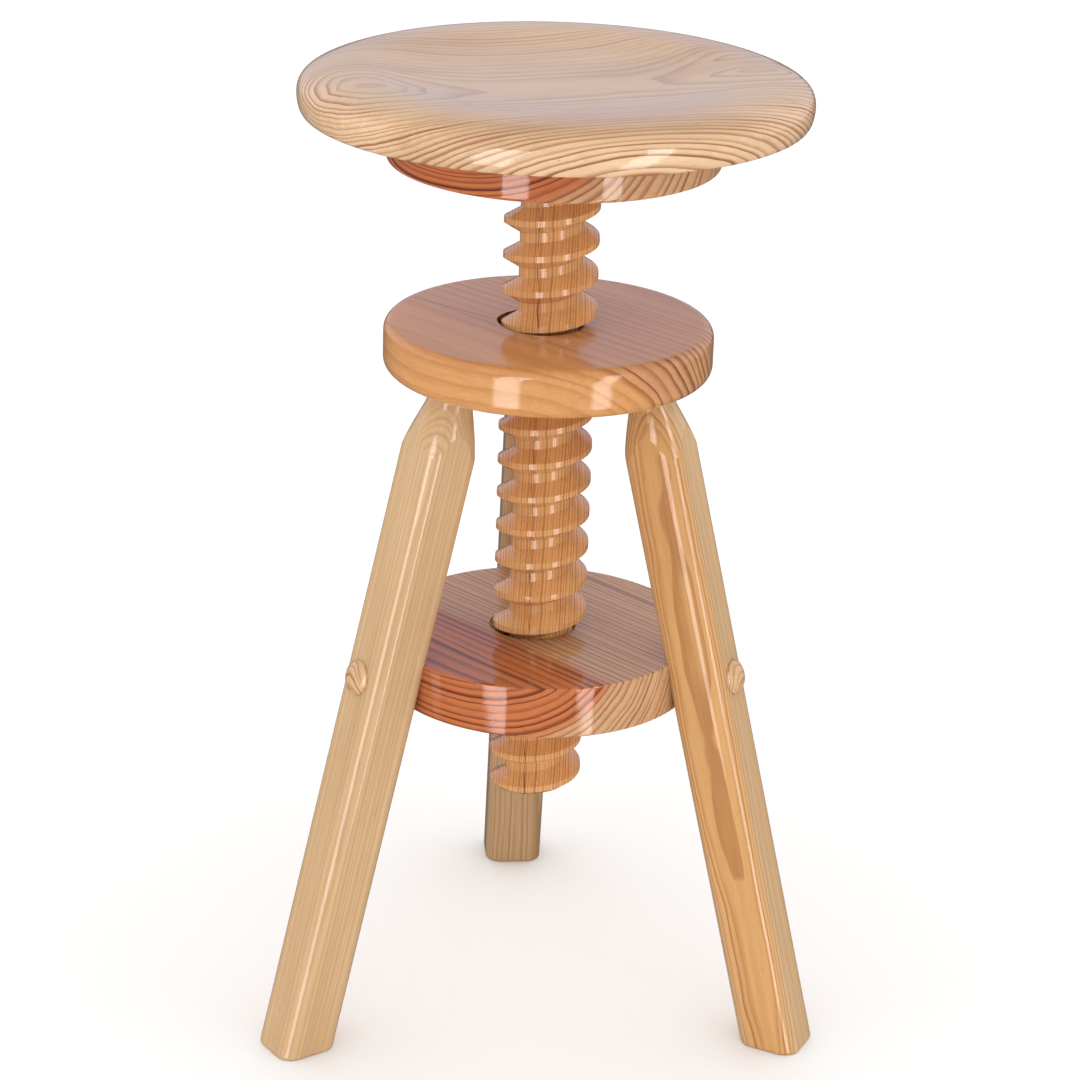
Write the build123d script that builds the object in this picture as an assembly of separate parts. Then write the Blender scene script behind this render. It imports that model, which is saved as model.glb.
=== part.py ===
from build123d import *
from math import floor, hypot, sqrt
import os

# Adjustable swivel stool in pine: a round seat on a coarse wooden screw that
# winds up and down through two threaded discs held by three splayed legs.
# Millimetres, +Z up. The origin is on the floor, on the axis of the screw.
# The back leg stands on +Y, the other two 120 degrees to each side of it.

# Seat and collar
SEAT_R = 160.0
SEAT_T = 27.0
SEAT_UNDERSIDE_Z = 605.0
BROW_R = 124.0             # ring where the seat's top is highest
RIM_LOW_H = 11.2           # height of the seat's widest line above its underside
RIM_LOW_W = 4.0            # how far the rim draws in below that line
RIM_FULLNESS = 0.74        # 0.71 would make the rim's upper part a plain ellipse
DISH_FLOOR_R = 62.0
DISH_DEPTH = 7.0
COLLAR_R = 104.5
COLLAR_T = 30.5
COLLAR_EDGE_R = 2.5
COLLAR_BOTTOM_Z = SEAT_UNDERSIDE_Z - COLLAR_T

# Wooden screw: right-hand, one start, trapezoidal thread
PITCH = 22.8
CREST_R = 30.3
CORE_R = 20.0
CREST_WIDTH = 3.8
ROOT_WIDTH = 6.4
SPINDLE_END_Z = 147.0
SPINDLE_CHAMFER = 4.0
TENON_R = 19.0
TENON_L = 11.0
CREST_Z_AT_X = 524.9       # height at which a crest crosses the +X direction
THREAD_DEPTH = CREST_R - CORE_R
FLANK_WIDTH = (PITCH - CREST_WIDTH - ROOT_WIDTH) / 2
SUNK = 1.0                 # how far the wound ridge reaches inside the core

# Looser thread cut in the two discs
THREAD_CLEARANCE = 2.8     # radial
FLANK_CLEARANCE = 1.3      # added to the cut thread's crest width
MOUTH_CHAMFER = 1.2

# Discs
UPPER_R = 105.0
UPPER_T = 31.0
UPPER_UNDERSIDE_Z = 439.0
UPPER_EDGE_R = 7.0
LOWER_R = 103.0
LOWER_T = 34.0
LOWER_UNDERSIDE_Z = 226.0
LOWER_EDGE_R = 1.0

# Legs
LEG_NAMES = {"back": 90.0, "left": 210.0, "right": 330.0}
LEG_W = 40.0
LEG_EDGE_R = 11.0
LEG_AXIS_TOP_R = 70.4      # distance of the leg's centre line from the screw, at the upper disc
LEG_AXIS_FLOOR_R = 183.9   # the same at the floor
FOOT_EDGE_R = 2.0
NOSE_R = 14.0              # turned top, where it enters the upper disc
NOSE_FULL_R = 26.5         # radius at which the turning leaves the square leg
NOSE_STRAIGHT = 5.0
NOSE_L = 66.0
LEG_TENON_DEPTH = 16.0

# Fasteners
PLUG_Z = 253.4             # height of the plug's centre on the leg's outer face
PLUG_R = 11.2
PLUG_STEM_R = 6.0
PLUG_RISE = 6.5
PLUG_EDGE = 1.6
COUNTERBORE_DEPTH = 14.0
LEG_SCREW_L = 58.0
SCREW_R = 2.5
SCREW_HEAD_R = 5.2
SCREW_HEAD_L = 3.4
COLLAR_SCREW_L = 45.0
COLLAR_SCREW_COUNT = 4
COLLAR_SCREW_PCR = 75.0
COACH_R = 5.0
COACH_HEAD_AF = 16.0
COACH_HEAD_L = 6.5
COACH_L = 66.0
WASHER_R = 14.0
WASHER_T = 2.5
WASHER_HOLE_R = 5.5
RECESS_R = 16.0
RECESS_DEPTH = 10.0
RUNNING = 0.05             # radial clearance of the coach screw in its holes
FACE_GAP = 0.1

BOTTOM = (Align.CENTER, Align.CENTER, Align.MIN)
TOP = (Align.CENTER, Align.CENTER, Align.MAX)


def cylinder_z(radius, z_low, z_high):
    """A cylinder on the screw's axis between two heights."""
    return Pos(0, 0, z_low) * Cylinder(radius, z_high - z_low, align=BOTTOM)


def turned(outline):
    """A solid of revolution about +Z, from edges drawn as (radius, height)."""
    return revolve(Plane.XZ * make_face(outline), Axis.Z)


def thread_sweep(z_low, z_high, core_r, corners):
    """A ridge wound past both heights. corners are its section's (height above the core, offset along Z)."""
    start_z = CREST_Z_AT_X + PITCH * floor((z_low - CREST_Z_AT_X) / PITCH - 1)
    turns = floor((z_high - start_z) / PITCH + 2)
    path = Helix(PITCH, turns * PITCH, core_r, center=(0, 0, start_z))
    section = make_face(Polyline(*corners, close=True))
    return sweep(Plane(path @ 0, x_dir=(1, 0, 0), z_dir=path % 0) * section, path=path, is_frenet=True)


def cut_thread(disc, z_low, z_high):
    """Cut the threaded hole through a disc: the screw's thread with its clearance, and chamfered mouths."""
    core_r = CORE_R + THREAD_CLEARANCE
    crest = (CREST_WIDTH + FLANK_CLEARANCE) / 2
    base = crest + FLANK_WIDTH * (1 + SUNK / THREAD_DEPTH)
    corners = [(-SUNK, -base), (THREAD_DEPTH, -crest), (THREAD_DEPTH, crest), (-SUNK, base)]
    disc -= thread_sweep(z_low, z_high, core_r, corners)
    disc -= cylinder_z(core_r, z_low - 1, z_high + 1)
    mouth = Cone(core_r + MOUTH_CHAMFER, core_r, MOUTH_CHAMFER, align=BOTTOM)
    disc -= Pos(0, 0, z_low) * mouth
    disc -= Pos(0, 0, z_high) * Rot(180, 0, 0) * mouth
    return disc


def wood_screw(length, head_r=SCREW_HEAD_R):
    """A countersunk wood screw along -Z, with the top of its head at the origin."""
    tip = 3 * SCREW_R
    screw = Cylinder(SCREW_R, length - tip, align=TOP)
    screw += Pos(0, 0, -length + tip) * Rot(180, 0, 0) * Cone(SCREW_R, 0.4, tip, align=BOTTOM)
    screw += Cone(SCREW_R, head_r, SCREW_HEAD_L, align=TOP)
    for turn in (0, 90):
        screw -= Rot(0, 0, turn) * Box(head_r, 1.2, 4.0)
    return screw


def screw_hole(length, head_r=SCREW_HEAD_R):
    """The wood that the same screw takes the place of."""
    tip = 3 * SCREW_R
    hole = Cylinder(SCREW_R, length - tip, align=TOP)
    hole += Pos(0, 0, -length + tip) * Rot(180, 0, 0) * Cone(SCREW_R, 0.4, tip, align=BOTTOM)
    hole += Cone(SCREW_R, head_r, SCREW_HEAD_L, align=TOP)
    return hole


def collar_screw_places():
    """Each collar screw points up from the collar's underside."""
    return [
        Rot(0, 0, 45 + 360 * i / COLLAR_SCREW_COUNT)
        * Pos(COLLAR_SCREW_PCR, 0, COLLAR_BOTTOM_Z)
        * Rot(180, 0, 0)
        for i in range(COLLAR_SCREW_COUNT)
    ]


def make_seat():
    """Turned seat: a shallow dish inside a broad brow that rolls over into the rim."""
    low = SEAT_UNDERSIDE_Z
    high = low + SEAT_T
    widest = low + RIM_LOW_H
    rim_w = SEAT_R - BROW_R
    rim_h = high - widest
    dish_w = BROW_R - DISH_FLOOR_R
    outline = [
        Line((0, low), (SEAT_R - RIM_LOW_W, low)),
        EllipticalCenterArc((SEAT_R - RIM_LOW_W, widest), RIM_LOW_W, RIM_LOW_H, start_angle=-90, arc_size=90),
        Spline(
            (SEAT_R, widest),
            (BROW_R + RIM_FULLNESS * rim_w, widest + RIM_FULLNESS * rim_h),
            (BROW_R, high),
            tangents=[(0, 1), (-1, 0)],
        ),
        Spline(
            (BROW_R, high),
            (BROW_R - 0.42 * dish_w, high - 0.42 * DISH_DEPTH),
            (DISH_FLOOR_R, high - 0.93 * DISH_DEPTH),
            (0, high - DISH_DEPTH),
            tangents=[(-1, 0), (-1, 0)],
        ),
        Line((0, high - DISH_DEPTH), (0, low)),
    ]
    seat = turned(outline)
    for place in collar_screw_places():
        seat -= place * screw_hole(COLLAR_SCREW_L)
    return seat


def make_collar():
    """Thick turned disc that joins the seat to the screw."""
    top = SEAT_UNDERSIDE_Z
    collar = cylinder_z(COLLAR_R, COLLAR_BOTTOM_Z, top)
    collar = fillet(collar.edges().filter_by(GeomType.CIRCLE).sort_by(Axis.Z)[0], COLLAR_EDGE_R)
    collar -= cylinder_z(TENON_R, COLLAR_BOTTOM_Z, COLLAR_BOTTOM_Z + TENON_L)
    collar -= cylinder_z(COACH_R + RUNNING, COLLAR_BOTTOM_Z, top)
    collar -= cylinder_z(RECESS_R, top - RECESS_DEPTH, top)
    for place in collar_screw_places():
        collar -= place * screw_hole(COLLAR_SCREW_L)
    return collar


def make_spindle():
    """The wooden screw, chamfered at its lower end, with a plain tenon glued in the collar."""
    crest = CREST_WIDTH / 2
    base = crest + FLANK_WIDTH
    half = [(THREAD_DEPTH, crest), (0, base), (-SUNK, base)]
    corners = [(out, -up) for out, up in reversed(half)] + half
    spindle = cylinder_z(CORE_R, SPINDLE_END_Z, COLLAR_BOTTOM_Z)
    spindle += thread_sweep(SPINDLE_END_Z, COLLAR_BOTTOM_Z, CORE_R, corners)
    blank = cylinder_z(CREST_R + 1, SPINDLE_END_Z, COLLAR_BOTTOM_Z)
    end_edge = blank.edges().filter_by(GeomType.CIRCLE).sort_by(Axis.Z)[0]
    spindle &= chamfer(end_edge, SPINDLE_CHAMFER + 1)
    spindle += cylinder_z(TENON_R, COLLAR_BOTTOM_Z - 1, COLLAR_BOTTOM_Z + TENON_L)
    hole_bottom = SEAT_UNDERSIDE_Z - RECESS_DEPTH - COACH_L
    spindle -= cylinder_z(COACH_R + RUNNING, hole_bottom, COLLAR_BOTTOM_Z + TENON_L)
    return spindle


def make_coach_screw():
    """Hexagon-headed screw that draws the collar down on the top of the wooden screw."""
    under_head = SEAT_UNDERSIDE_Z - RECESS_DEPTH + FACE_GAP + WASHER_T
    tip = 8.0
    head = extrude(RegularPolygon(COACH_HEAD_AF / 2, 6, major_radius=False), COACH_HEAD_L)
    screw = Pos(0, 0, under_head) * head
    screw += cylinder_z(COACH_R, under_head - COACH_L + tip, under_head)
    screw += Pos(0, 0, under_head - COACH_L + tip) * Rot(180, 0, 0) * Cone(COACH_R, 1.0, tip, align=BOTTOM)
    return screw


def make_coach_washer():
    """Plain washer under the coach screw's head."""
    low = SEAT_UNDERSIDE_Z - RECESS_DEPTH + FACE_GAP
    return cylinder_z(WASHER_R, low, low + WASHER_T) - cylinder_z(WASHER_HOLE_R, low, low + WASHER_T)


def leg_plane():
    """Frame of a leg that splays towards +X: origin under the upper disc, +Z up along the leg."""
    rise = UPPER_UNDERSIDE_Z
    run = LEG_AXIS_TOP_R - LEG_AXIS_FLOOR_R
    return Plane((LEG_AXIS_TOP_R, 0, UPPER_UNDERSIDE_Z), x_dir=(0, 1, 0), z_dir=(run, 0, rise))


def plug_plane():
    """Frame of the plug and screw: on the leg's outer face, +Z square out of it."""
    run = LEG_AXIS_FLOOR_R - LEG_AXIS_TOP_R
    length = hypot(run, UPPER_UNDERSIDE_Z)
    normal = (UPPER_UNDERSIDE_Z / length, 0, run / length)
    axis_r = LEG_AXIS_TOP_R + (UPPER_UNDERSIDE_Z - PLUG_Z) * run / UPPER_UNDERSIDE_Z
    face_r = axis_r + LEG_W / 2 / normal[0]
    return Plane((face_r, 0, PLUG_Z), x_dir=(0, 1, 0), z_dir=normal)


def leg_tenon(top_s):
    """The plain round top of a leg, from just below the upper disc to top_s above it."""
    return leg_plane() * Pos(0, 0, -NOSE_STRAIGHT) * Cylinder(NOSE_R, NOSE_STRAIGHT + top_s, align=BOTTOM)


def make_leg():
    """Square leg with rounded edges, its top turned down to a slim neck and its foot cut level."""
    tenon_s = LEG_TENON_DEPTH
    below = 520.0
    square = extrude(RectangleRounded(LEG_W, LEG_W, LEG_EDGE_R), below + tenon_s)
    square = Pos(0, 0, -below) * square
    taper = NOSE_L - NOSE_STRAIGHT
    swell = NOSE_FULL_R - NOSE_R
    outline = [
        Line((0, tenon_s), (NOSE_R, tenon_s)),
        Line((NOSE_R, tenon_s), (NOSE_R, -NOSE_STRAIGHT)),
        Spline(
            (NOSE_R, -NOSE_STRAIGHT),
            (NOSE_R + 0.25 * swell, -NOSE_STRAIGHT - 0.25 * taper),
            (NOSE_R + 0.70 * swell, -NOSE_STRAIGHT - 0.58 * taper),
            (NOSE_FULL_R, -NOSE_L),
            tangents=[(0, -1), (0.1, -1)],
        ),
        Line((NOSE_FULL_R, -NOSE_L), (LEG_W, -NOSE_L)),
        Line((LEG_W, -NOSE_L), (LEG_W, -below)),
        Line((LEG_W, -below), (0, -below)),
        Line((0, -below), (0, tenon_s)),
    ]
    leg = leg_plane() * (square & turned(outline))
    leg &= Pos(LEG_AXIS_FLOOR_R / 2, 0, 0) * Box(600, 200, 600, align=BOTTOM)
    leg = fillet(leg.faces().sort_by(Axis.Z)[0].edges(), FOOT_EDGE_R)
    leg -= plug_plane() * Cylinder(PLUG_STEM_R, COUNTERBORE_DEPTH, align=TOP)
    leg -= plug_plane() * Pos(0, 0, -COUNTERBORE_DEPTH + SCREW_HEAD_L) * screw_hole(LEG_SCREW_L)
    return leg


def make_leg_screw():
    """Wood screw through a leg into the rim of the lower disc."""
    return plug_plane() * Pos(0, 0, -COUNTERBORE_DEPTH + SCREW_HEAD_L) * wood_screw(LEG_SCREW_L)


def make_plug():
    """Domed wooden plug that covers the leg screw, with its stem in the counterbore."""
    stem_l = COUNTERBORE_DEPTH - SCREW_HEAD_L - 1.0
    dome = PLUG_RISE - PLUG_EDGE
    dome_r = (PLUG_R**2 + dome**2) / (2 * dome)
    middle = PLUG_RISE - dome_r + sqrt(dome_r**2 - PLUG_R**2 / 4)
    outline = [
        Line((0, -stem_l), (PLUG_STEM_R, -stem_l)),
        Line((PLUG_STEM_R, -stem_l), (PLUG_STEM_R, 0)),
        Line((PLUG_STEM_R, 0), (PLUG_R, 0)),
        Line((PLUG_R, 0), (PLUG_R, PLUG_EDGE)),
        ThreePointArc((PLUG_R, PLUG_EDGE), (PLUG_R / 2, middle), (0, PLUG_RISE)),
        Line((0, PLUG_RISE), (0, -stem_l)),
    ]
    return plug_plane() * turned(outline)


def make_upper_disc():
    """Threaded disc with well-rounded edges and three blind sockets for the leg tops."""
    high = UPPER_UNDERSIDE_Z + UPPER_T
    disc = cylinder_z(UPPER_R, UPPER_UNDERSIDE_Z, high)
    disc = fillet(disc.edges().filter_by(GeomType.CIRCLE), UPPER_EDGE_R)
    disc = cut_thread(disc, UPPER_UNDERSIDE_Z, high)
    for angle in LEG_NAMES.values():
        disc -= Rot(0, 0, angle) * leg_tenon(LEG_TENON_DEPTH)
    return disc


def make_lower_disc(leg):
    """Threaded disc with crisp edges, housed against the inner faces of the legs."""
    high = LOWER_UNDERSIDE_Z + LOWER_T
    disc = cylinder_z(LOWER_R, LOWER_UNDERSIDE_Z, high)
    disc = fillet(disc.edges().filter_by(GeomType.CIRCLE), LOWER_EDGE_R)
    disc = cut_thread(disc, LOWER_UNDERSIDE_Z, high)
    hole = plug_plane() * Pos(0, 0, -COUNTERBORE_DEPTH + SCREW_HEAD_L) * screw_hole(LEG_SCREW_L)
    for angle in LEG_NAMES.values():
        disc -= Rot(0, 0, angle) * leg
        disc -= Rot(0, 0, angle) * hole
    return disc


def save(shape, node):
    """Write one node's solid, named as the node."""
    solid = shape.solids()[0]
    solid.label = node
    export_step(solid, f"parts/{node}.step")


os.makedirs("parts", exist_ok=True)
save(make_seat(), "seat")
save(make_collar(), "seat_collar")
save(make_spindle(), "spindle")
save(make_coach_screw(), "coach_screw")
save(make_coach_washer(), "coach_washer")
for number, place in enumerate(collar_screw_places(), start=1):
    save(place * wood_screw(COLLAR_SCREW_L), f"collar_screw_{number}")

plain_leg = make_leg()
save(make_upper_disc(), "upper_disc")
save(make_lower_disc(plain_leg), "lower_disc")
for name, angle in LEG_NAMES.items():
    turn = Rot(0, 0, angle)
    save(turn * plain_leg, f"leg_{name}")
    save(turn * make_leg_screw(), f"leg_screw_{name}")
    save(turn * make_plug(), f"plug_{name}")
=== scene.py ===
from math import cos, pi, radians, sin
from math import e as NATURAL_BASE

import bpy
from mathutils import Matrix, Vector


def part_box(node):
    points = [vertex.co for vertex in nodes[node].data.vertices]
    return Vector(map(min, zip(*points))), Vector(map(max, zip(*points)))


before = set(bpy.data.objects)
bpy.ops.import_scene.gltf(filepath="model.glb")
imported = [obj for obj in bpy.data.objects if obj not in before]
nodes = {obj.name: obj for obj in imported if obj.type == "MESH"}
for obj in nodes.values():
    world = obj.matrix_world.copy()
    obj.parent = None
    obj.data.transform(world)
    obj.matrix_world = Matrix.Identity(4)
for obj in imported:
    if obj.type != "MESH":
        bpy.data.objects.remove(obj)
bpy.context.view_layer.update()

# ---------------------------------------------------------------- camera
CAMERA_TURN = radians(4.74)      # how far round the stool the camera stands from -Y
CAMERA_DISTANCE = 1.8948         # from the screw's axis, along the floor
CAMERA_HEIGHT = 1.0684
CAMERA_PITCH = radians(21.55)
CAMERA_ROLL = radians(1.83)
CAMERA_LENS = 104.2
CAMERA_SENSOR = 36.0
CAMERA_REACH = 50.0
CAMERA_ASIDE = -0.00125          # a small step to its left, looking the same way


def make_camera():
    """The camera of the reference view: above the seat, in front and a little to the left."""
    data = bpy.data.cameras.new("camera")
    data.lens = CAMERA_LENS
    data.sensor_width = CAMERA_SENSOR
    data.clip_end = CAMERA_REACH
    camera = bpy.data.objects.new("camera", data)
    bpy.context.scene.collection.objects.link(camera)
    place = Vector((-sin(CAMERA_TURN), -cos(CAMERA_TURN), 0.0)) * CAMERA_DISTANCE
    place.z = CAMERA_HEIGHT
    place += Vector((cos(CAMERA_TURN), -sin(CAMERA_TURN), 0.0)) * CAMERA_ASIDE
    turn = Matrix.Rotation(-CAMERA_TURN, 4, "Z")
    tilt = Matrix.Rotation(pi / 2 - CAMERA_PITCH, 4, "X")
    roll = Matrix.Rotation(CAMERA_ROLL, 4, "Z")
    camera.matrix_world = Matrix.Translation(place) @ turn @ tilt @ roll
    bpy.context.scene.camera = camera


# ---------------------------------------------------------------- node helpers
# The sockets of a Mix node that blends colours, by number
MIX_FACTOR, MIX_FIRST, MIX_SECOND, MIX_RESULT = 0, 6, 7, 2


class Graph:
    """Short calls for building a shader node tree."""

    def __init__(self, tree):
        self.tree = tree

    def node(self, kind, inputs=None, **settings):
        """Add a node. inputs maps an input's name or number to a value or to another node's output."""
        made = self.tree.nodes.new(kind)
        for name, value in settings.items():
            setattr(made, name, value)
        for name, value in (inputs or {}).items():
            self.set(made.inputs[name], value)
        return made

    def set(self, socket, value):
        if isinstance(value, bpy.types.NodeSocket):
            self.tree.links.new(value, socket)
        else:
            socket.default_value = value

    def math(self, operation, first, second=0.0, third=0.0):
        made = self.node("ShaderNodeMath", {0: first, 1: second, 2: third}, operation=operation)
        return made.outputs[0]

    def vector(self, operation, first, second=(0.0, 0.0, 0.0)):
        made = self.node("ShaderNodeVectorMath", {0: first, 1: second}, operation=operation)
        return made.outputs[0]

    def length(self, vector):
        return self.node("ShaderNodeVectorMath", {0: vector}, operation="LENGTH").outputs["Value"]

    def split(self, vector):
        """The outputs X, Y and Z of a vector."""
        return self.node("ShaderNodeSeparateXYZ", {0: vector}).outputs

    def join(self, across=0.0, deep=0.0, high=0.0):
        return self.node("ShaderNodeCombineXYZ", {0: across, 1: deep, 2: high}).outputs[0]

    def noise(self, vector, scale, detail=2.0, roughness=0.5):
        """Noise from 0 to 1. scale is one number, or three for X, Y and Z."""
        if isinstance(scale, tuple):
            vector = self.vector("MULTIPLY", vector, scale)
            scale = 1.0
        inputs = {"Vector": vector, "Scale": scale, "Detail": detail, "Roughness": roughness}
        return self.node("ShaderNodeTexNoise", inputs).outputs["Fac"]

    def sway(self, vector, scale, size, detail=2.0):
        """Noise about zero, times size."""
        return self.math("MULTIPLY", self.math("SUBTRACT", self.noise(vector, scale, detail), 0.5), size)

    def spread(self, value, low, high, to_low=0.0, to_high=1.0, smooth=True):
        """Map low..high to to_low..to_high, clamped."""
        inputs = {"Value": value, "From Min": low, "From Max": high, "To Min": to_low, "To Max": to_high}
        kind = "SMOOTHSTEP" if smooth else "LINEAR"
        return self.node("ShaderNodeMapRange", inputs, interpolation_type=kind).outputs[0]

    def mix(self, factor, first, second, blend="MIX"):
        """Blend two colours."""
        made = self.node("ShaderNodeMix", data_type="RGBA", blend_type=blend)
        self.set(made.inputs[MIX_FACTOR], factor)
        self.set(made.inputs[MIX_FIRST], first)
        self.set(made.inputs[MIX_SECOND], second)
        return made.outputs[MIX_RESULT]

    def shade(self, shown, tone):
        """Multiply a colour by a number."""
        grey = self.node("ShaderNodeCombineColor", {0: tone, 1: tone, 2: tone}).outputs[0]
        return self.mix(1.0, shown, grey, "MULTIPLY")


def new_material(name):
    """An empty material, and the graph that fills it."""
    material = bpy.data.materials.new(name)
    material.use_nodes = True
    material.node_tree.nodes.clear()
    return material, Graph(material.node_tree)


def colour(red, green, blue):
    """A colour given as it looks on screen, 0 to 255, turned into linear light by the sRGB curve."""
    def linear(value):
        value /= 255.0
        return value / 12.92 if value <= 0.04045 else ((value + 0.055) / 1.055) ** 2.4
    return (linear(red), linear(green), linear(blue), 1.0)


# ---------------------------------------------------------------- wood
# How finely each noise varies across the board, through it and along the grain, per metre
SLOW_BEND = (9.0, 9.0, 2.6)
QUICK_BEND = (45.0, 45.0, 12.0)
DRIFT = (20.0, 20.0, 5.0)
STREAKS = (300.0, 300.0, 5.0)
FIBRES = (1500.0, 1500.0, 40.0)
DUCTS = (900.0, 900.0, 70.0)
QUICK_SHARE = 0.4                # of the slow bend

# Rings. A ring's latewood is placed by how far through the year it is, 0 to 1
LEAST_GROWN = 0.02               # keeps the logarithm's input above zero
YEARS_SCALE = 0.45
YEARS_SHIFT = 1.5                # how far noise moves the rings, in rings
LATE_RISE = (0.30, 0.88)
LATE_FALL = (0.93, 1.0)
LATE_SHARPNESS = 1.7
FAINTEST_YEAR = 0.45

# Colour
SAP_EDGE = (-0.004, 0.006)       # the blend from heartwood to sapwood, round the heart's edge
DRIFT_RANGE = (0.40, 0.80)
DRIFT_DEPTH = 0.28
DUCT_RANGE = (0.71, 0.80)
DUCT_DEPTH = 0.55
LINE_RANGE = (0.25, 0.75)        # of the fibres' and the streaks' noise
FIBRE_TONE = (0.93, 1.05)
STREAK_TONE = (-0.09, 0.07)
LATE_HEIGHT = 0.6
FIBRE_HEIGHT = 0.4

# Surface
TOP_FACING = (0.88, 0.99)        # the upward part of the normal, where a face begins and ends to be a top
WOOD_ROUGHNESS = (0.42, 0.55)
WOOD_SPECULAR = 0.12
GRAIN_BUMP = 0.35
COAT_BUMP = 0.12
GRAIN_DEPTH = 0.0002

WOOD_SOCKETS = (
    ("Vector", "NodeSocketVector"),
    ("Pith X", "NodeSocketFloat"),
    ("Pith Y", "NodeSocketFloat"),
    ("Ring", "NodeSocketFloat"),
    ("Growth", "NodeSocketFloat"),
    ("Heart", "NodeSocketFloat"),
    ("Wave", "NodeSocketFloat"),
    ("Late", "NodeSocketFloat"),
    ("Seed", "NodeSocketFloat"),
    ("Heartwood", "NodeSocketColor"),
    ("Heart line", "NodeSocketColor"),
    ("Sapwood", "NodeSocketColor"),
    ("Sap line", "NodeSocketColor"),
)


def ring_radius(graph, given, point):
    """Distance from the pith line, bent by noise that runs along the grain."""
    apart = graph.split(given["Vector"])
    across = graph.math("SUBTRACT", apart["X"], given["Pith X"])
    deep = graph.math("SUBTRACT", apart["Y"], given["Pith Y"])
    radius = graph.length(graph.join(across, deep))
    bend = graph.sway(point, SLOW_BEND, given["Wave"])
    ripple = graph.sway(point, QUICK_BEND, given["Wave"])
    return graph.math("ADD", radius, graph.math("MULTIPLY_ADD", ripple, QUICK_SHARE, bend))


def ring_phase(graph, given, radius):
    """The count of rings out to a radius. Rings are Ring wide at the heart's edge and change by Growth."""
    beyond = graph.math("DIVIDE", graph.math("SUBTRACT", radius, given["Heart"]), given["Ring"])
    grown = graph.math("ADD", graph.math("MULTIPLY", beyond, given["Growth"]), 1.0)
    phase = graph.math("LOGARITHM", graph.math("MAXIMUM", grown, LEAST_GROWN), NATURAL_BASE)
    shifted = graph.math("ADD", graph.math("DIVIDE", phase, given["Growth"]), given["Seed"])
    inputs = {"W": shifted, "Scale": YEARS_SCALE, "Detail": 1.0}
    years = graph.node("ShaderNodeTexNoise", inputs, noise_dimensions="1D").outputs["Fac"]
    return graph.math("ADD", shifted, graph.math("MULTIPLY", years, YEARS_SHIFT))


def ring_lines(graph, given, radius):
    """Latewood from 0 to 1, with some years fainter than others."""
    phase = ring_phase(graph, given, radius)
    part = graph.math("FRACT", phase)
    rise = graph.spread(part, *LATE_RISE)
    fall = graph.spread(part, *LATE_FALL, 1.0, 0.0)
    late = graph.math("MULTIPLY", graph.math("POWER", rise, LATE_SHARPNESS), fall)
    year = graph.node("ShaderNodeTexWhiteNoise", {"W": graph.math("FLOOR", phase)}, noise_dimensions="1D")
    strength = graph.spread(year.outputs["Value"], 0.0, 1.0, FAINTEST_YEAR, 1.0, smooth=False)
    return graph.math("MULTIPLY", late, graph.math("MULTIPLY", strength, given["Late"]))


def make_wood_group():
    """Pine with its growth rings round a pith line along local Z, its fibres, ducts and slow colour drift."""
    tree = bpy.data.node_groups.new("wood_rings", "ShaderNodeTree")
    for name, kind in WOOD_SOCKETS:
        tree.interface.new_socket(name, in_out="INPUT", socket_type=kind)
    tree.interface.new_socket("Colour", in_out="OUTPUT", socket_type="NodeSocketColor")
    tree.interface.new_socket("Height", in_out="OUTPUT", socket_type="NodeSocketFloat")
    graph = Graph(tree)
    given = graph.node("NodeGroupInput").outputs
    seed = graph.join(given["Seed"], given["Seed"], given["Seed"])
    point = graph.vector("ADD", given["Vector"], seed)
    radius = ring_radius(graph, given, point)
    late = ring_lines(graph, given, radius)

    # Heartwood inside, sapwood outside
    sap = graph.spread(graph.math("SUBTRACT", radius, given["Heart"]), *SAP_EDGE)
    early = graph.mix(sap, given["Heartwood"], given["Sapwood"])
    line = graph.mix(sap, given["Heart line"], given["Sap line"])

    # Slow drift, growth lines, resin ducts, then streaks and fibres
    drift = graph.noise(point, DRIFT)
    streak = graph.noise(point, STREAKS, detail=3.0, roughness=0.6)
    fibre = graph.noise(point, FIBRES, detail=3.0, roughness=0.6)
    duct = graph.noise(point, DUCTS, detail=1.0)
    early = graph.mix(graph.spread(drift, *DRIFT_RANGE, 0.0, DRIFT_DEPTH), early, line)
    shown = graph.mix(late, early, line)
    shown = graph.mix(graph.spread(duct, *DUCT_RANGE, 0.0, DUCT_DEPTH), shown, line)
    lines = graph.math("ADD", graph.spread(fibre, *LINE_RANGE, *FIBRE_TONE, smooth=False),
                       graph.spread(streak, *LINE_RANGE, *STREAK_TONE, smooth=False))
    shown = graph.shade(shown, lines)
    height = graph.math("ADD", graph.math("MULTIPLY", late, LATE_HEIGHT),
                        graph.math("MULTIPLY", fibre, FIBRE_HEIGHT))
    graph.node("NodeGroupOutput", {"Colour": shown, "Height": height})
    return tree


wood = make_wood_group()


def board(pith, ring, heart, inner, outer=None, growth=0.001, wave=0.012, late=0.8, seed=1.0):
    """One board's values for the wood group.

    Lengths are in metres and colours are (wood, line). growth can't be 0, as the ring count is divided by it.
    """
    outer = outer or inner
    return {
        "Pith X": pith[0], "Pith Y": pith[1], "Ring": ring, "Heart": heart, "Growth": growth,
        "Wave": wave, "Late": late, "Seed": seed,
        "Heartwood": inner[0], "Heart line": inner[1], "Sapwood": outer[0], "Sap line": outer[1],
    }


def along(direction, up=(0.0, 0.0, 1.0)):
    """Turn of a board's frame: Z along the grain, Y as near up as it can be, X across the board."""
    grain = Vector(direction).normalized()
    across = Vector(up).cross(grain).normalized()
    deep = grain.cross(across)
    return tuple(Matrix((across, deep, grain)).transposed().to_euler())


def along_level(angle):
    """Turn of a flat board whose grain runs at an angle from +X."""
    return along((cos(angle), sin(angle), 0.0))


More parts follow.
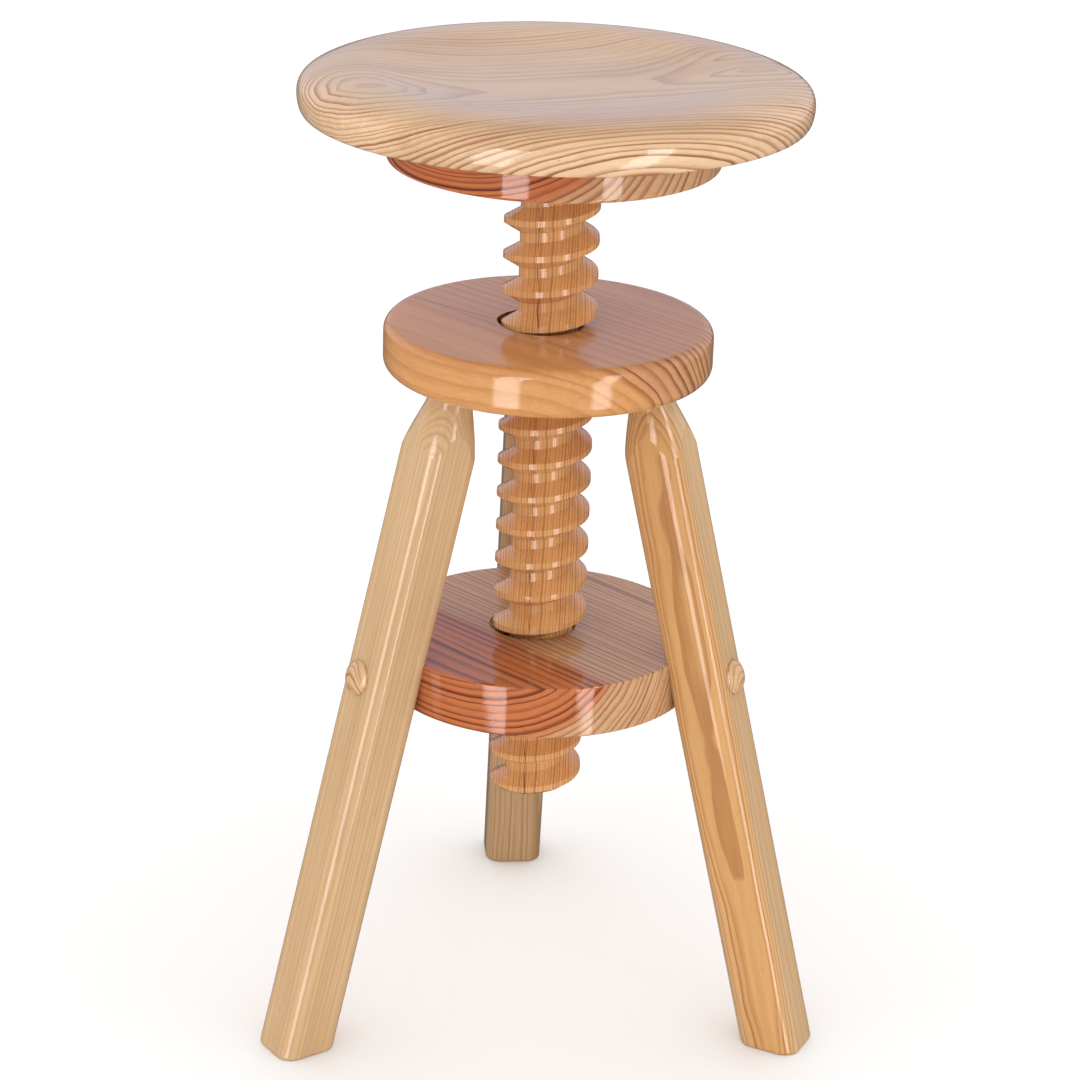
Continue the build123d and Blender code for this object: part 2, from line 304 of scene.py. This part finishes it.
def raise_knot(graph, point, centre, size, height):
    """Lift the growth layers round one knot: the point looked up moves through the board near it."""
    away = graph.vector("DIVIDE", graph.vector("SUBTRACT", point, centre), size)
    lift = graph.math("MULTIPLY", graph.spread(graph.length(away), 0.0, 1.0, 1.0, 0.0), height)
    return graph.vector("ADD", point, graph.join(deep=lift))


def wood_material(name, values, origin=(0.0, 0.0, 0.0), turn=(0.0, 0.0, 0.0), coat=0.08,
                  knot=None, crack=None, top_late=1.0, top_tone=1.0):
    """Varnished pine cut from one board.

    top_late is how strongly the growth lines show on faces that look up. top_tone is painted shade: it
    multiplies the colour of those faces to darken the tops.
    """
    material, graph = new_material(name)
    place = graph.node("ShaderNodeTexCoord").outputs["Object"]
    inputs = {"Vector": place, "Location": origin, "Rotation": turn}
    point = graph.node("ShaderNodeMapping", inputs, vector_type="TEXTURE").outputs[0]
    if knot:
        point = raise_knot(graph, point, *knot)
    normal = graph.node("ShaderNodeNewGeometry").outputs["Normal"]
    upward = graph.split(normal)["Z"]
    strength = graph.spread(upward, *TOP_FACING, 1.0, top_late)
    inputs = {**values, "Vector": point, "Late": graph.math("MULTIPLY", strength, values["Late"])}
    made = graph.node("ShaderNodeGroup", node_tree=wood)
    for socket, value in inputs.items():
        graph.set(made.inputs[socket], value)
    height = made.outputs["Height"]
    # Painted shade: the colour of faces that look up is multiplied by top_tone, which darkens the tops.
    shown = graph.shade(made.outputs["Colour"], graph.spread(upward, *TOP_FACING, 1.0, top_tone))
    if crack:
        shown = crack(graph, place, shown)
    bump = graph.node("ShaderNodeBump", {"Height": height, "Strength": GRAIN_BUMP, "Distance": GRAIN_DEPTH})
    gloss = graph.node("ShaderNodeBump", {"Height": height, "Strength": COAT_BUMP, "Distance": GRAIN_DEPTH})
    shader = graph.node("ShaderNodeBsdfPrincipled", {
        "Base Color": shown,
        "Roughness": graph.spread(height, 0.0, 1.0, *WOOD_ROUGHNESS, smooth=False),
        "Specular IOR Level": WOOD_SPECULAR,
        "Coat Weight": 1.0,
        "Coat Roughness": coat,
        "Normal": bump.outputs[0],
        "Coat Normal": gloss.outputs[0],
    })
    graph.node("ShaderNodeOutputMaterial", {"Surface": shader.outputs[0]})
    return material


# ---------------------------------------------------------------- steel
STEEL_DARK = colour(176, 176, 170)
STEEL_BRIGHT = colour(205, 203, 196)
STEEL_CLOUDS = (90.0, 90.0, 90.0)
STEEL_MARKS = (300.0, 300.0, 2600.0)
CLOUD_RANGE = (0.3, 0.7)
STEEL_ROUGHNESS = (0.28, 0.42)
STEEL_BUMP = 0.2
STEEL_DEPTH = 0.0001


def steel_material():
    """Zinc-plated steel with fine turning marks."""
    material, graph = new_material("zinc_steel")
    place = graph.node("ShaderNodeTexCoord").outputs["Object"]
    cloud = graph.noise(place, STEEL_CLOUDS, detail=3.0)
    marks = graph.noise(place, STEEL_MARKS)
    bump = graph.node("ShaderNodeBump", {"Height": marks, "Strength": STEEL_BUMP, "Distance": STEEL_DEPTH})
    shader = graph.node("ShaderNodeBsdfPrincipled", {
        "Base Color": graph.mix(cloud, STEEL_DARK, STEEL_BRIGHT),
        "Metallic": 1.0,
        "Roughness": graph.spread(cloud, *CLOUD_RANGE, *STEEL_ROUGHNESS),
        "Normal": bump.outputs[0],
    })
    graph.node("ShaderNodeOutputMaterial", {"Surface": shader.outputs[0]})
    return material


# ---------------------------------------------------------------- the stool's nodes
def dress(node, material):
    """Put a material in a CAD node's only slot."""
    nodes[node].data.materials.clear()
    nodes[node].data.materials.append(material)


def middle(node):
    """The middle of a node's box."""
    low_corner, high_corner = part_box(node)
    return [(a + b) / 2 for a, b in zip(low_corner, high_corner)]


# Wood and growth line, as they look under the varnish
STRAW = (colour(232, 194, 154), colour(154, 97, 58))
PALE = (colour(214, 178, 135), colour(184, 140, 92))
PLUG = (colour(222, 180, 134), colour(158, 104, 62))
PALE_GREY = (colour(192, 156, 116), colour(148, 108, 70))
PALE_HONEY = (colour(216, 164, 106), colour(170, 108, 58))
HONEY = (colour(216, 156, 98), colour(190, 122, 66))
RUSSET = (colour(206, 148, 100), colour(122, 62, 34))
ORANGE = (colour(202, 116, 68), colour(104, 38, 22))
ORANGE_SAP = (colour(210, 164, 122), colour(152, 92, 54))
BROWN = (colour(230, 172, 112), colour(170, 106, 58))
CRACK_COLOUR = colour(84, 44, 26)

ALL_HEART = 0.5                  # a heart wider than any board reaches, so no sapwood shows
SATIN_COAT = 0.10                # how rough the varnish is
GLOSSY_COAT = 0.05

# Board frames are (across, through, along the grain), from the middle of the node
SEAT_GRAIN = radians(16.0)
SEAT_KNOT = (-0.012, 0.012, 0.125)
SEAT_KNOT_SIZE = (0.022, 0.060, 0.050)
SEAT_KNOT_LIFT = -0.006
DISC_GRAIN = radians(-50.0)      # the collar and both discs were cut with their grain this way round
LEG_WAYS = {"back": radians(90), "left": radians(210), "right": radians(330)}
LEG_SPLAY = radians(14.5)
LEG_BOARDS = {
    "back": board((-0.060, 0.050), 0.0030, ALL_HEART, PALE_GREY, wave=0.006, late=0.75, seed=11.0),
    "left": board((0.075, -0.075), 0.0022, ALL_HEART, PALE, wave=0.004, late=0.60, seed=12.0),
    "right": board((0.048, 0.003), 0.0030, 0.036, PALE_HONEY, PALE, wave=0.014, late=0.9, seed=14.0),
}


def dress_seat():
    """One wide flat-sawn board, bark side down, with a small knot on the right."""
    values = board((-0.019, 0.139), 0.0030, 0.160, STRAW, growth=0.012, wave=0.007, late=1.0, seed=3.0)
    knot = (SEAT_KNOT, SEAT_KNOT_SIZE, SEAT_KNOT_LIFT)
    # top_tone darkens the seat's top with painted shade.
    dress("seat", wood_material("seat_pine", values, middle("seat"), along_level(SEAT_GRAIN), knot=knot,
                                top_late=0.45, top_tone=0.88))


SHAKE_ACROSS = (0.669, 0.743)    # the level direction square to the line
SHAKE_OFFSET = 0.0214            # of the line from the disc's axis
SHAKE_WIDTH = (0.0002, 0.0006)
SHAKE_DEPTH = 0.75
SHAKE_END_X = -0.03


def upper_shake(graph, place, shown):
    """A fine dark line near the grain's way, from the back left of the upper disc's top to its hole."""
    apart = graph.split(place)
    across = graph.math("ADD", graph.math("MULTIPLY", apart["X"], SHAKE_ACROSS[0]),
                        graph.math("MULTIPLY", apart["Y"], SHAKE_ACROSS[1]))
    off = graph.math("ABSOLUTE", graph.math("ADD", across, SHAKE_OFFSET))
    line = graph.spread(off, *SHAKE_WIDTH, SHAKE_DEPTH, 0.0)
    left = graph.math("LESS_THAN", apart["X"], SHAKE_END_X)
    return graph.mix(graph.math("MULTIPLY", line, left), shown, CRACK_COLOUR)


def dress_disc(node, name, values, **look):
    """The collar and the discs share the way their grain runs."""
    dress(node, wood_material(name, values, middle(node), along_level(DISC_GRAIN), **look))


def dress_discs():
    """Collar and discs: wide boards, with curved growth lines on one side and slanted ones on the other."""
    collar = board((-0.135, 0.085), 0.0043, 0.114, ORANGE, ORANGE_SAP,
                   growth=0.055, wave=0.006, late=1.0, seed=5.0)
    dress_disc("seat_collar", "collar_pine", collar, coat=GLOSSY_COAT)
    lower = board((-0.105, 0.065), 0.0046, 0.086, ORANGE, ORANGE_SAP, wave=0.008, late=0.95, seed=8.0)
    # top_tone darkens the lower disc's top with painted shade.
    dress_disc("lower_disc", "lower_disc_pine", lower, coat=GLOSSY_COAT, top_tone=0.87)
    upper = board((-0.100, -0.084), 0.0072, 0.114, HONEY, RUSSET,
                  growth=-0.03, wave=0.008, late=0.95, seed=2.0)
    # top_tone darkens the upper disc's top with painted shade.
    dress_disc("upper_disc", "upper_disc_pine", upper, coat=SATIN_COAT,
               crack=upper_shake, top_late=0.35, top_tone=0.94)


def dress_legs():
    """Straight-grained legs, and plugs turned with their grain across the leg."""
    for name, way in LEG_WAYS.items():
        outward = (cos(way), sin(way), 0.0)
        up_leg = (-cos(way) * sin(LEG_SPLAY), -sin(way) * sin(LEG_SPLAY), cos(LEG_SPLAY))
        leg = f"leg_{name}"
        dress(leg, wood_material(f"leg_pine_{name}", LEG_BOARDS[name],
                                 middle(leg), along(up_leg, outward), coat=SATIN_COAT))
        plug = f"plug_{name}"
        values = board((0.003, -0.010), 0.0022, ALL_HEART, PLUG, wave=0.002, late=1.0, seed=way)
        across_leg = along((-sin(way), cos(way), 0.25), (cos(way), sin(way), 0.2))
        dress(plug, wood_material(f"plug_pine_{name}", values, middle(plug), across_leg, coat=SATIN_COAT))


CRACK_X = -0.009                 # left of the screw's axis
CRACK_WANDER = 0.012
CRACK_WANDER_SCALE = 14.0
CRACK_WIDTH_SCALE = 55.0
CRACK_OPENS = (0.42, 0.62)       # closed where the width noise is below the first, widest above the second
CRACK_HALF_WIDTH = 0.00045
CRACK_SOFTNESS = (-0.0001, 0.00015)
CRACK_DEPTH = 0.8


def spindle_crack(graph, place, shown):
    """A fine drying crack that wanders down the front of the screw."""
    apart = graph.split(place)
    height = graph.join(high=apart["Z"])
    line = graph.math("ADD", graph.sway(height, CRACK_WANDER_SCALE, CRACK_WANDER, detail=3.0), CRACK_X)
    off = graph.math("ABSOLUTE", graph.math("SUBTRACT", apart["X"], line))
    half = graph.spread(graph.noise(height, CRACK_WIDTH_SCALE), *CRACK_OPENS, 0.0, CRACK_HALF_WIDTH)
    inside = graph.spread(graph.math("SUBTRACT", half, off), *CRACK_SOFTNESS, smooth=False)
    front = graph.math("LESS_THAN", apart["Y"], 0.0)
    depth = graph.math("MULTIPLY", inside, graph.math("MULTIPLY", front, CRACK_DEPTH))
    return graph.mix(depth, shown, CRACK_COLOUR)


def dress_spindle():
    """The screw's grain runs up it, with the pith out to the left, so rings show edge-on in front."""
    values = board((-0.200, 0.004), 0.0022, ALL_HEART, BROWN, wave=0.0015, late=0.80, seed=21.0)
    dress("spindle", wood_material("spindle_pine", values, coat=SATIN_COAT, crack=spindle_crack))


def dress_fastenings():
    """The metal screws and the washer share one steel."""
    steel = steel_material()
    for node in nodes:
        if "screw" in node or "washer" in node:
            dress(node, steel)


# ---------------------------------------------------------------- studio
FLOOR_HALF = 12.0
FLOOR_WHITE = (0.98, 0.98, 0.98, 1.0)
FLOOR_ROUGHNESS = 0.9

STRIP_TINT = (1.0, 0.90, 0.88)
STRIP_POWER = 20.0               # W for each square metre
STRIP_LEAN = radians(12)         # sideways, in the strip's own plane
STRIP_DISTANCE = 1.25            # from the screw's axis

ROOM_SIDES = (1.64, 1.64, 1.64, 1.0)
ROOM_ABOVE = (0.88, 0.88, 0.88, 1.0)
ROOM_DIM = (0.10, 0.09, 0.09, 1.0)
ROOM_WALL = (0.51, 0.51, 0.63, 1.0)
WALL_SIDE = (-0.25, 0.15)        # where the wall starts, by the Y of the way looked
WALL_FOOT = (-0.08, 0.04)        # and its foot and top, by the Z of that
WALL_TOP = (0.45, 0.75)


def make_floor():
    """A plain pale floor, large enough to have no edge in view. It doesn't show in the varnish."""
    data = bpy.data.meshes.new("floor")
    corners = [(-FLOOR_HALF, -FLOOR_HALF, 0.0), (FLOOR_HALF, -FLOOR_HALF, 0.0),
               (FLOOR_HALF, FLOOR_HALF, 0.0), (-FLOOR_HALF, FLOOR_HALF, 0.0)]
    data.from_pydata(corners, [], [(0, 1, 2, 3)])
    floor = bpy.data.objects.new("floor", data)
    bpy.context.scene.collection.objects.link(floor)
    material = bpy.data.materials.new("floor_white")
    material.use_nodes = True
    shader = material.node_tree.nodes["Principled BSDF"]
    shader.inputs["Base Color"].default_value = FLOOR_WHITE
    shader.inputs["Roughness"].default_value = FLOOR_ROUGHNESS
    data.materials.append(material)
    floor.visible_glossy = False


def make_world():
    """A plain room.

    It lights the wood softly, more from the sides than from above. In reflections it is a pale wall behind
    the stool and a dim room in front.
    """
    world = bpy.data.worlds.new("room")
    world.use_nodes = True
    world.node_tree.nodes.clear()
    graph = Graph(world.node_tree)
    apart = graph.split(graph.node("ShaderNodeTexCoord").outputs["Generated"])
    behind = graph.spread(apart["Y"], *WALL_SIDE)
    above_foot = graph.spread(apart["Z"], *WALL_FOOT)
    below_top = graph.spread(apart["Z"], *WALL_TOP, 1.0, 0.0)
    wall = graph.math("MULTIPLY", behind, graph.math("MULTIPLY", above_foot, below_top))
    mirrored = graph.mix(wall, ROOM_DIM, ROOM_WALL)
    soft = graph.mix(graph.spread(apart["Z"], 0.0, 1.0, smooth=False), ROOM_SIDES, ROOM_ABOVE)
    glossy = graph.node("ShaderNodeLightPath").outputs["Is Glossy Ray"]
    light = graph.node("ShaderNodeBackground", {"Color": graph.mix(glossy, soft, mirrored), "Strength": 1.0})
    graph.node("ShaderNodeOutputWorld", {"Surface": light.outputs[0]})
    bpy.context.scene.world = world


def make_strip(name, turn, height, width, length):
    """An upright light that shows only in reflections. turn is how far left of the camera it stands."""
    data = bpy.data.lights.new(name, "AREA")
    data.shape = "RECTANGLE"
    data.size = width
    data.size_y = length
    data.energy = STRIP_POWER * width * length
    data.color = STRIP_TINT
    light = bpy.data.objects.new(name, data)
    bpy.context.scene.collection.objects.link(light)
    around = turn + CAMERA_TURN
    light.location = (-sin(around) * STRIP_DISTANCE, -cos(around) * STRIP_DISTANCE, height)
    light.rotation_euler = (pi / 2, STRIP_LEAN, -around)
    light.visible_camera = False
    light.visible_diffuse = False


make_camera()
dress_seat()
dress_discs()
dress_legs()
dress_spindle()
dress_fastenings()
make_floor()
make_world()
make_strip("strip_left", radians(23.5), height=0.385, width=0.37, length=1.43)
make_strip("strip_right", radians(-41), height=0.51, width=0.27, length=1.68)

bpy.context.scene.view_settings.view_transform = "Standard"
